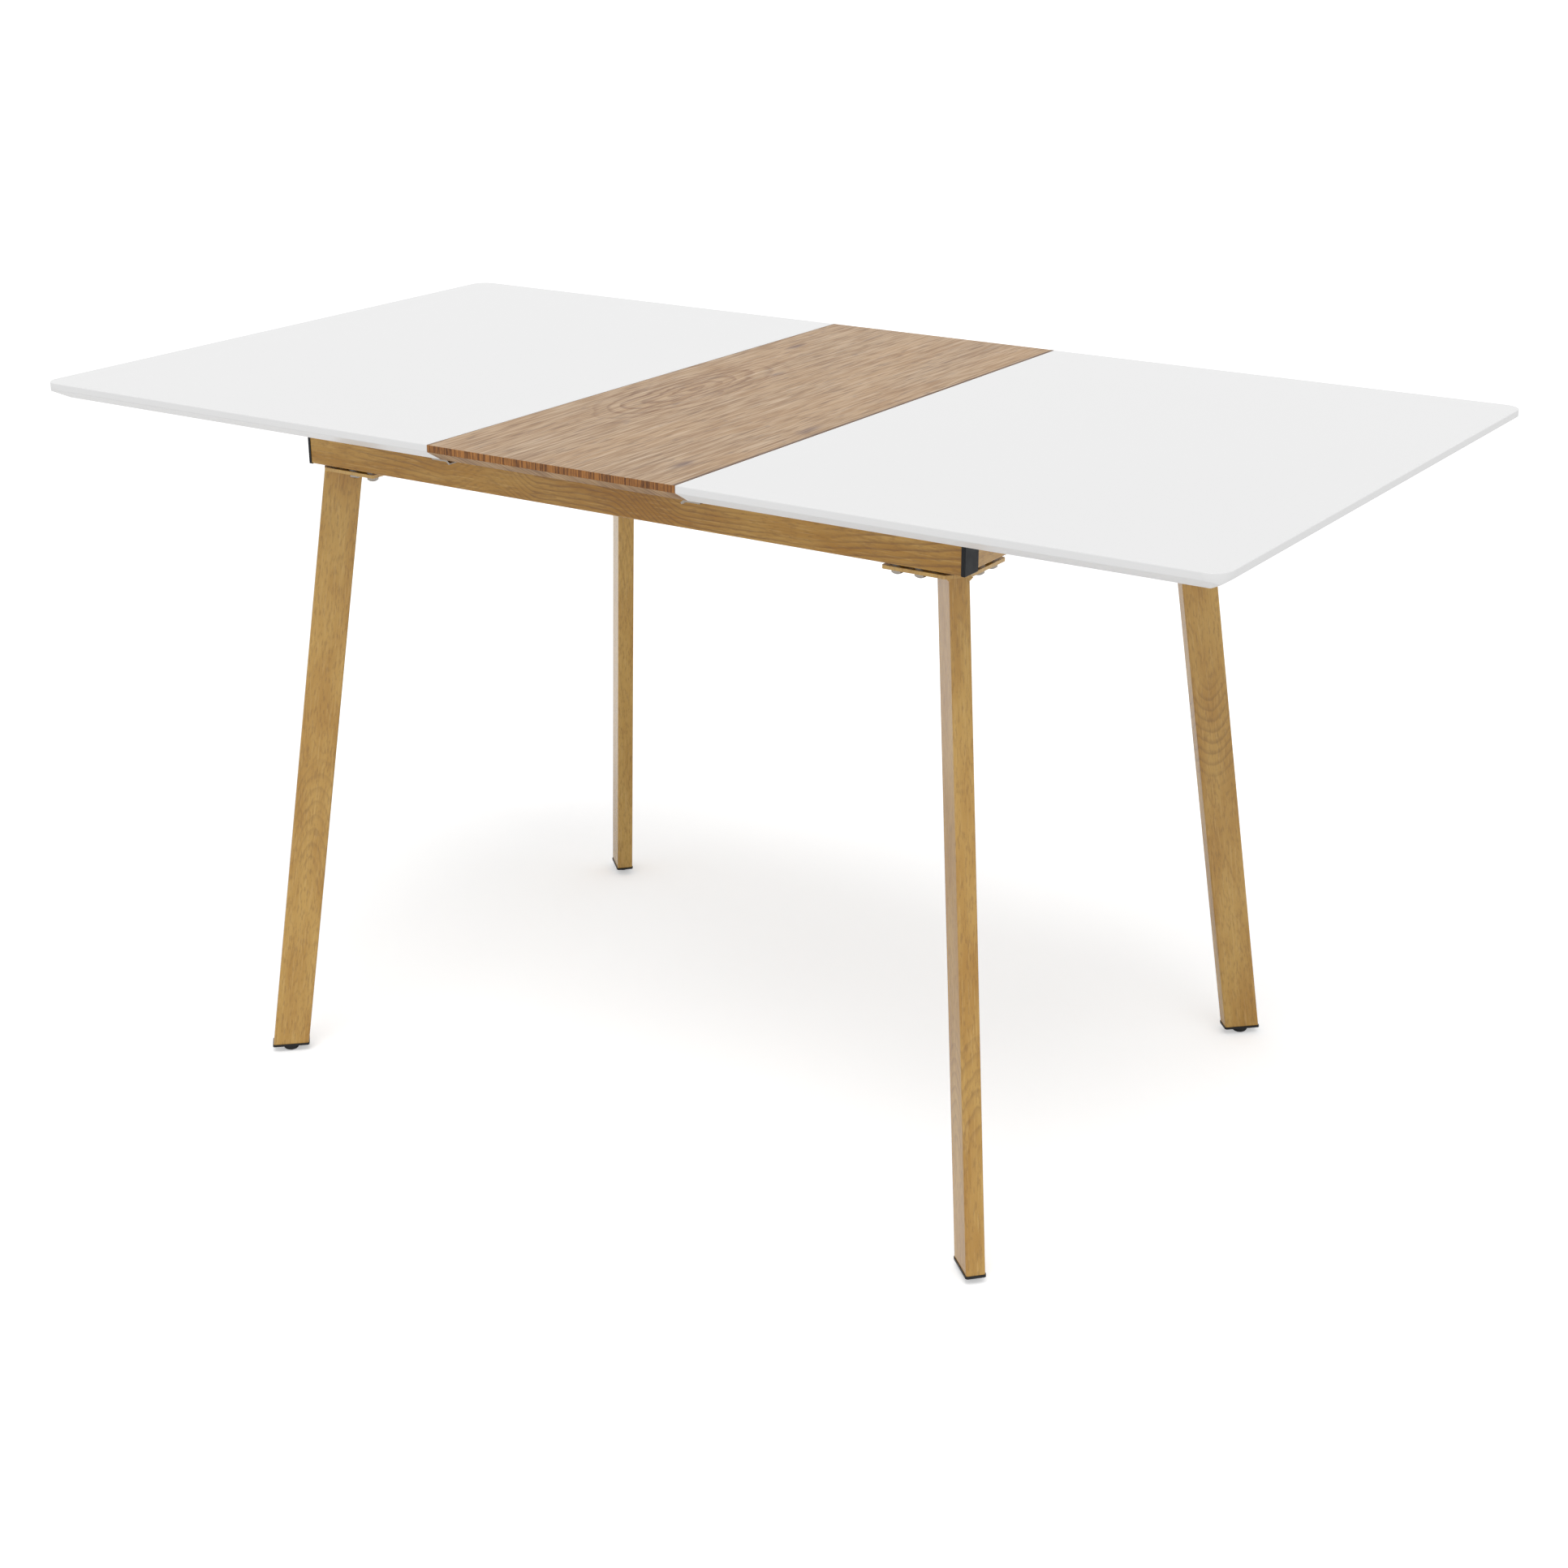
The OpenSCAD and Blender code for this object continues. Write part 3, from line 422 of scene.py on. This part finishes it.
LEG_FILMS = {
    "front_left": TubeFilm(
        coat=0.4, brownness=0.10, contrast=0.24, centre_mm=(-6, 14, 180), spacing_mm=3.6, length_ratio=4.5,
        arched=(285, 105)),
    "front_right": TubeFilm(
        coat=0.4, brownness=0.16, contrast=0.34, centre_mm=(-4, 12, 60), spacing_mm=3.6, length_ratio=3.8,
        arched=(185, 85)),
    "back_left": TubeFilm(
        coat=0.4, brownness=-0.25, contrast=0.24, centre_mm=(-30, 20, 300), spacing_mm=3.6, length_ratio=8,
        arched=(560, 200)),
    "back_right": TubeFilm(
        coat=0.4, brownness=0.10, contrast=0.38, centre_mm=(2, 12, 545), spacing_mm=3.6, length_ratio=3.4,
        arched=(380, 85)),
}
# Clear coat of the leg plates, and how much browner than its leg a plate is; the shift is below 0, a painted
# highlight that draws the plate lighter for the light its rounded edges catch
PLATE_COAT = 0.6
PLATE_PAINTED_HIGHLIGHT_SHIFT = -0.4
# How far the share of brown in a film's patches spreads above its least
BROWN_SPREAD = 0.6


def oak_tube_film(name, colours, origin, turn, film):
    """Oak-look heat-transfer film under a thin clear coat on steel tube: yellow-brown with arched grain lines
    along the tube, soft yellow and brown patches and short pores, and pale where it is seen aslant. The
    pores are drawn coarse enough to show. The tube runs along the Z of the turned axes."""
    material, tree = new_material(name)
    place = object_place(tree, origin, turn)
    patches = flecks(tree, place, (22, 22, 120), detail=2.0)
    pores = flecks(tree, place, (1.9, 1.9, 9), detail=2.0, soft=(0.46, 0.72))
    glints = flecks(tree, place, (1.6, 1.6, 30), detail=1.0, soft=(0.52, 0.74))
    rings = growth_rings(
        tree, place, film.centre_mm, film.spacing_mm, stretch=(1, 1, film.length_ratio),
        wobbles=((8, (60, 60, 170)), (1.6, (9, 9, 30))), swerves=film.swerves)
    if film.arched:
        middle_mm, reach_mm = film.arched
        shown = spot(tree, place, (0, 0, middle_mm), [reach_mm] * 3)
    else:
        shown = flecks(tree, place, (50, 50, 160), detail=0.0, soft=(0.2, 0.55))
    lines = add(tree, "Math", {"operation": "MULTIPLY"}, {0: rings, 1: shown})
    brown = add(tree, "MapRange", (), {
        "Value": patches, "To Min": film.brownness, "To Max": film.brownness + BROWN_SPREAD})
    tone = tint(tree, opaque(colours.film_light), brown, colours.film_brown)
    tone = tint(tree, tone, glints, linear("dcb873"), 0.30)
    tone = tint(tree, tone, lines, colours.film_dark, film.contrast)
    tone = tint(tree, tone, pores, colours.film_dark, 0.36)
    surface(tree, tone, pores, (0.18, 0.25), pores, 0.01,
            {"IOR": 1.5, "Coat Weight": film.coat, "Coat Roughness": 0.15})
    return material


def moulded_plastic(name, colour, roughness, grit_mm, gloss=0.5):
    """Injection-moulded plastic with a spark-eroded grain: a dull even sheen that drifts a little in tone.
    gloss is the strength of its reflections."""
    material, tree = new_material(name)
    place = object_place(tree)
    grit = flecks(tree, place, (grit_mm, grit_mm, grit_mm), detail=2.0)
    worn = flecks(tree, place, (14, 14, 14), detail=2.0)
    tone = tint(tree, opaque([c * 0.8 for c in colour]), worn, [min(1, c * 1.2) for c in colour])
    surface(tree, tone, worn, (roughness - 0.06, roughness + 0.06), grit, 0.02,
            {"IOR": 1.46, "Specular IOR Level": gloss})
    return material


def plated_metal(name, colour, roughness, spangle_mm):
    """Steel with an electroplated coat: bright metal whose gloss drifts a little from spot to spot."""
    material, tree = new_material(name)
    place = object_place(tree)
    spangle = flecks(tree, place, (spangle_mm, spangle_mm, spangle_mm), detail=2.0)
    scuffs = flecks(tree, place, (0.8, 0.8, 9), detail=2.0)
    tone = tint(tree, opaque([c * 0.9 for c in colour]), spangle, colour)
    surface(tree, tone, spangle, (roughness - 0.05, roughness + 0.08), scuffs, 0.004, {"Metallic": 1.0})
    return material


# Board building

def block(low, high):
    """Box between two corners."""
    board = bmesh.new()
    bmesh.ops.create_cube(board, size=1.0)
    bmesh.ops.scale(board, vec=high - low, verts=board.verts)
    bmesh.ops.translate(board, vec=(low + high) / 2, verts=board.verts)
    return board


def slice_off(board, point, outwards):
    """Cuts away what lies beyond a plane and closes the cut."""
    cut = bmesh.ops.bisect_plane(
        board, geom=board.verts[:] + board.edges[:] + board.faces[:], dist=ON_PLANE,
        plane_co=point, plane_no=outwards, clear_outer=True)
    edges = [item for item in cut["geom_cut"] if isinstance(item, bmesh.types.BMEdge)]
    bmesh.ops.holes_fill(board, edges=edges, sides=0)


def bevel_under(board, sizes, edge, outwards):
    """Cuts the long bevel under the edge that faces outwards; edge is a point of that side."""
    drop = (TOP_HIGH.z - TOP_LOW.z) - sizes.edge_band
    point = Vector((edge.x, edge.y, TOP_HIGH.z - sizes.edge_band))
    slice_off(board, point, outwards * drop - Vector((0, 0, sizes.bevel_in)))


def finish_board(name, board, rounding, body, replaced, materials, slot_of_normal):
    """Rounds a board's sharp edges, makes it an object and gives it its place and materials."""
    bmesh.ops.recalc_face_normals(board, faces=board.faces)
    sharp = [edge for edge in board.edges if edge.calc_face_angle() > SHARP_TURN]
    bmesh.ops.bevel(board, geom=sharp, offset=rounding, offset_type="OFFSET", segments=3,
                    profile=0.5, affect="EDGES", clamp_overlap=True, material=-1)
    board.normal_update()
    for face in board.faces:
        # The wide flats keep flat shading, and the narrow rounded strips shade smoothly
        face.smooth = face.calc_area() < FLAT_AREA
        face.material_index = slot_of_normal(face.normal)
    mesh = bpy.data.meshes.new(name)
    board.to_mesh(mesh)
    board.free()
    piece = bpy.data.objects.new(name, mesh)
    bpy.context.scene.collection.objects.link(piece)
    for material in materials:
        mesh.materials.append(material)
    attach(piece, body)
    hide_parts(replaced)


def dress(nodes, material):
    """Gives CAD nodes their material."""
    for name in nodes:
        mesh = NODES[name].data
        mesh.materials.clear()
        mesh.materials.append(material)


# The leaf's material slots, and the parts of a unit normal that tell its faces apart: its bevel faces half
# outwards and the rest downwards
DECOR, EDGING, BEVEL_FOIL, SEAM_EDGING = range(4)
SQUARE_ON = 0.7
UNDERSIDE = 0.95
ON_BEVEL = 0.3


def leaf_slot(normal):
    """Material slot of the leaf's face that looks along normal."""
    if normal.z > SQUARE_ON or normal.z < -UNDERSIDE:
        return DECOR
    if abs(normal.x) > SQUARE_ON:
        return SEAM_EDGING
    if normal.z < -ON_BEVEL and abs(normal.y) > ON_BEVEL:
        return BEVEL_FOIL
    return EDGING


# Operators

class TABLE_OT_white_halves(bpy.types.Operator):
    """Builds the two white lacquered halves of the top"""
    bl_idname = "dining_table.white_halves"
    bl_label = "White halves"

    def execute(self, context):
        sizes = context.scene.table_boards
        lacquer = high_gloss_lacquer(context.scene.table_colours.white)
        for side, node in ((-1, "left_top"), (1, "right_top")):
            low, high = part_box(node)
            board = block(low, high)
            outer_x = high.x if side > 0 else low.x
            upright = [edge for edge in board.edges
                       if all(abs(vert.co.x - outer_x) < SAME_PLACE for vert in edge.verts)
                       and abs(edge.verts[0].co.y - edge.verts[1].co.y) < SAME_PLACE]
            bmesh.ops.bevel(board, geom=upright, offset=sizes.corner_radius, offset_type="OFFSET",
                            segments=12, profile=0.5, affect="EDGES", material=-1)
            bevel_under(board, sizes, Vector((outer_x, 0, 0)), Vector((side, 0, 0)))
            for y in (low.y, high.y):
                bevel_under(board, sizes, Vector((0, y, 0)), Vector((0, math.copysign(1, y), 0)))
            half = "left" if side < 0 else "right"
            finish_board(f"{half}_white_half", board, sizes.lacquer_round, f"{half}_half",
                         node, [lacquer], lambda normal: 0)
        return {"FINISHED"}


class TABLE_OT_wood_leaf(bpy.types.Operator):
    """Builds the oak-look leaf in the middle of the top"""
    bl_idname = "dining_table.wood_leaf"
    bl_label = "Wood leaf"

    def execute(self, context):
        sizes = context.scene.table_boards
        colours = context.scene.table_colours
        low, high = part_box("leaf")
        board = block(low, high)
        for y in (low.y, high.y):
            bevel_under(board, sizes, Vector((0, y, 0)), Vector((0, math.copysign(1, y), 0)))
        finish_board("oak_leaf_board", board, sizes.foil_round, "leaf", "leaf",
                     [oak_decor(colours),
                      oak_edging("printed_oak_edging", colours),
                      oak_bevel_foil(colours),
                      oak_edging("printed_oak_edging_at_seams", colours, (0, 0, math.radians(90)))],
                     leaf_slot)
        return {"FINISHED"}


class TABLE_OT_oak_frame(bpy.types.Operator):
    """Wraps the rails, legs and leg plates in oak-look film"""
    bl_idname = "dining_table.oak_frame"
    bl_label = "Oak-look frame"

    def execute(self, context):
        colours = context.scene.table_colours
        legs = context.scene.table_legs
        along_x = (0, math.radians(90), 0)
        along_y = (math.radians(-90), 0, 0)
        for turn, films in ((along_x, LONG_RAIL_FILMS), (along_y, END_RAIL_FILMS)):
            for node, film in films.items():
                low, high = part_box(node)
                dress([node], oak_tube_film(f"oak_film_on_{node}", colours, (low + high) / 2, turn, film))
        feet = {mount["name"]: Vector(mount["pos_m"]) for mount in frame["record"]["mounts"]}
        for corner, film in LEG_FILMS.items():
            foot = feet[corner + "_foot_face"] + Vector((0, 0, legs.foot_height))
            turn = self.leg_turn(legs, foot)
            # Painted highlight: each plate's film is its leg's drawn lighter, for the light on the plate's
            # rounded edges
            highlighted_plate_film = film._replace(coat=PLATE_COAT, brownness=film.brownness + PLATE_PAINTED_HIGHLIGHT_SHIFT)
            for node, looks in ((corner + "_leg", film), (corner + "_leg_plate", highlighted_plate_film)):
                dress([node], oak_tube_film(f"oak_film_on_{node}", colours, foot, turn, looks))
        return {"FINISHED"}

    def leg_turn(self, legs, foot):
        """Turn of axes whose Z runs up the leg that stands at foot, with X across its wide face."""
        outwards = Vector((
            math.copysign(math.cos(legs.turn), foot.x), math.copysign(math.sin(legs.turn), foot.y), 0))
        up = (Vector((0, 0, 1)) * math.cos(legs.lean) - outwards * math.sin(legs.lean)).normalized()
        wide = (outwards * math.cos(legs.lean) + Vector((0, 0, 1)) * math.sin(legs.lean)).normalized()
        return Matrix((wide, up.cross(wide), up)).transposed().to_euler()


class TABLE_OT_plastic_parts(bpy.types.Operator):
    """Finishes the caps, inserts, glides, slide blocks and rubber stops"""
    bl_idname = "dining_table.plastic_parts"
    bl_label = "Plastic and rubber"

    def execute(self, context):
        colours = context.scene.table_colours
        dress([corner + "_cap" for corner in CORNERS],
              moulded_plastic("moulded_black_polyethylene", colours.plastic,
                              roughness=0.5, grit_mm=0.9, gloss=0.34))
        dress([f"{corner}_{part}" for corner in CORNERS for part in ("leg_insert", "glide")],
              moulded_plastic("moulded_black_nylon", colours.glide, roughness=0.34, grit_mm=1.2))
        dress(["left_slide_blocks", "right_slide_blocks"],
              moulded_plastic("moulded_natural_nylon", colours.nylon, roughness=0.38, grit_mm=1.0))
        dress(["track_stops"],
              moulded_plastic("pressed_black_rubber", colours.rubber, roughness=0.75, grit_mm=0.8))
        return {"FINISHED"}


class TABLE_OT_metal_parts(bpy.types.Operator):
    """Plates the bolts, clips, screws, tracks and runners"""
    bl_idname = "dining_table.metal_parts"
    bl_label = "Plated steel"

    def execute(self, context):
        colours = context.scene.table_colours
        dress([corner + "_leg_bolts" for corner in CORNERS]
              + [f"{side}_{part}" for side in ("left", "right") for part in ("seam_clips", "clip_screws")],
              plated_metal("bright_nickel_plate", colours.nickel, roughness=0.16, spangle_mm=3.0))
        dress([f"{corner}_{part}" for corner in CORNERS for part in ("washers", "rivet_nuts")]
              + [f"{side}_{part}" for side in ("front", "back") for part in ("track", "track_screws")]
              + [f"{side}_{part}" for side in ("left", "right")
                 for part in ("front_runner", "back_runner", "runner_screws")],
              plated_metal("clear_zinc_plate", colours.zinc, roughness=0.36, spangle_mm=6.0))
        return {"FINISHED"}


class TABLE_OT_studio(bpy.types.Operator):
    """Sets the floor, the lamp, the surroundings and the camera"""
    bl_idname = "dining_table.studio"
    bl_label = "Studio"

    def execute(self, context):
        scene = context.scene
        stage = scene.table_stage
        scene.view_settings.view_transform = "Standard"
        self.lay_floor(scene, stage)
        self.surround(scene, stage)
        self.hang_key(scene, stage)
        self.place_camera(scene, stage)
        return {"FINISHED"}

    def lay_floor(self, scene, stage):
        """Pale floor that the camera sees as white apart from the table's shadow, and that is clear from
        below."""
        material, tree = new_material("pale_studio_floor")
        place = object_place(tree)
        mottle = flecks(tree, place, (600, 600, 600), detail=1.0)
        tone = tint(tree, opaque(linear("f0f0f0")), mottle, linear("f3f3f3"))
        matt = add(tree, "BsdfDiffuse", (), {"Color": tone})
        seen = add(tree, "LightPath").node.outputs["Is Camera Ray"]
        strength = add(tree, "Math", {"operation": "MULTIPLY"}, {0: seen, 1: stage.floor_lift})
        lift = add(tree, "Emission", (), {"Strength": strength})
        both = add(tree, "AddShader", (), {0: matt, 1: lift})
        below = add(tree, "NewGeometry").node.outputs["Backfacing"]
        both = add(tree, "MixShader", (), {0: below, 1: both, 2: add(tree, "BsdfTransparent")})
        add(tree, "OutputMaterial", (), {"Surface": both})
        sheet = bmesh.new()
        bmesh.ops.create_grid(sheet, x_segments=1, y_segments=1, size=stage.floor_size)
        mesh = bpy.data.meshes.new("studio_floor")
        sheet.to_mesh(mesh)
        sheet.free()
        mesh.materials.append(material)
        floor = bpy.data.objects.new("studio_floor", mesh)
        scene.collection.objects.link(floor)

    def surround(self, scene, stage):
        """Surroundings that light the table with an even grey, and are white to the eye and in
        reflections."""
        world = bpy.data.worlds.new("pale_studio")
        world.use_nodes = True
        tree = world.node_tree
        tree.nodes.clear()
        rays = add(tree, "LightPath").node.outputs
        seen = add(tree, "Math", {"operation": "MAXIMUM"},
                   {0: rays["Is Camera Ray"], 1: rays["Is Glossy Ray"]})
        seen = add(tree, "Math", {"operation": "MAXIMUM"}, {0: seen, 1: rays["Is Transmission Ray"]})
        grey = add(tree, "Background", (), {"Color": (1, 1, 1, 1), "Strength": stage.fill})
        white = add(tree, "Background", (), {"Color": (1, 1, 1, 1), "Strength": 1.0})
        both = add(tree, "MixShader", (), {0: seen, 1: grey, 2: white})
        add(tree, "OutputWorld", (), {"Surface": both})
        scene.world = world

    def hang_key(self, scene, stage):
        """One broad soft lamp high over the front."""
        lamp = bpy.data.lights.new("key_lamp", "SUN")
        lamp.energy = stage.key_strength
        lamp.angle = stage.key_softness
        key = bpy.data.objects.new("key_lamp", lamp)
        key.rotation_euler = Vector(stage.key_from).to_track_quat("Z", "Y").to_euler()
        scene.collection.objects.link(key)

    def place_camera(self, scene, stage):
        """Camera at the photograph's angle."""
        forward = Vector((
            -math.sin(stage.azimuth) * math.cos(stage.pitch),
            math.cos(stage.azimuth) * math.cos(stage.pitch),
            -math.sin(stage.pitch)))
        right = Vector((math.cos(stage.azimuth), math.sin(stage.azimuth), 0))
        down = forward.cross(right)
        tilted_right = right * math.cos(stage.roll) + down * math.sin(stage.roll)
        tilted_down = down * math.cos(stage.roll) - right * math.sin(stage.roll)
        lens = bpy.data.cameras.new("photo_camera")
        lens.sensor_fit = "HORIZONTAL"
        lens.sensor_width = SENSOR_MM
        lens.lens = stage.focal_px / IMAGE_PX * SENSOR_MM
        # The view ends well past the floor's far edge
        lens.clip_end = 5 * stage.floor_size
        camera = bpy.data.objects.new("photo_camera", lens)
        turn = Matrix((tilted_right, -tilted_down, -forward)).transposed().to_4x4()
        camera.matrix_world = Matrix.Translation(stage.eye) @ turn
        scene.collection.objects.link(camera)
        scene.camera = camera


OPERATORS = (
    TABLE_OT_white_halves, TABLE_OT_wood_leaf, TABLE_OT_oak_frame,
    TABLE_OT_plastic_parts, TABLE_OT_metal_parts, TABLE_OT_studio)
GROUPS = {
    "table_boards": TableBoards, "table_colours": TableColours,
    "table_legs": TableLegs, "table_stage": TableStage}


class TABLE_PT_sidebar(bpy.types.Panel):
    """Lists the table's settings and building steps"""
    bl_idname = "TABLE_PT_sidebar"
    bl_label = "Dining table"
    bl_space_type = "VIEW_3D"
    bl_region_type = "UI"
    bl_category = "Dining table"

    def draw(self, context):
        for name, group in GROUPS.items():
            box = self.layout.box()
            for setting in group.__annotations__:
                box.prop(getattr(context.scene, name), setting)
        for operator in OPERATORS:
            self.layout.operator(operator.bl_idname)


def register():
    for group in GROUPS.values():
        bpy.utils.register_class(group)
    for name, group in GROUPS.items():
        setattr(bpy.types.Scene, name, bpy.props.PointerProperty(type=group))
    for member in (*OPERATORS, TABLE_PT_sidebar):
        bpy.utils.register_class(member)


def unregister():
    for member in reversed((*OPERATORS, TABLE_PT_sidebar)):
        bpy.utils.unregister_class(member)
    for name, group in GROUPS.items():
        delattr(bpy.types.Scene, name)
        bpy.utils.unregister_class(group)


def main():
    register()
    bpy.ops.dining_table.white_halves()
    bpy.ops.dining_table.wood_leaf()
    bpy.ops.dining_table.oak_frame()
    bpy.ops.dining_table.plastic_parts()
    bpy.ops.dining_table.metal_parts()
    bpy.ops.dining_table.studio()


if __name__ == "__main__":
    main()
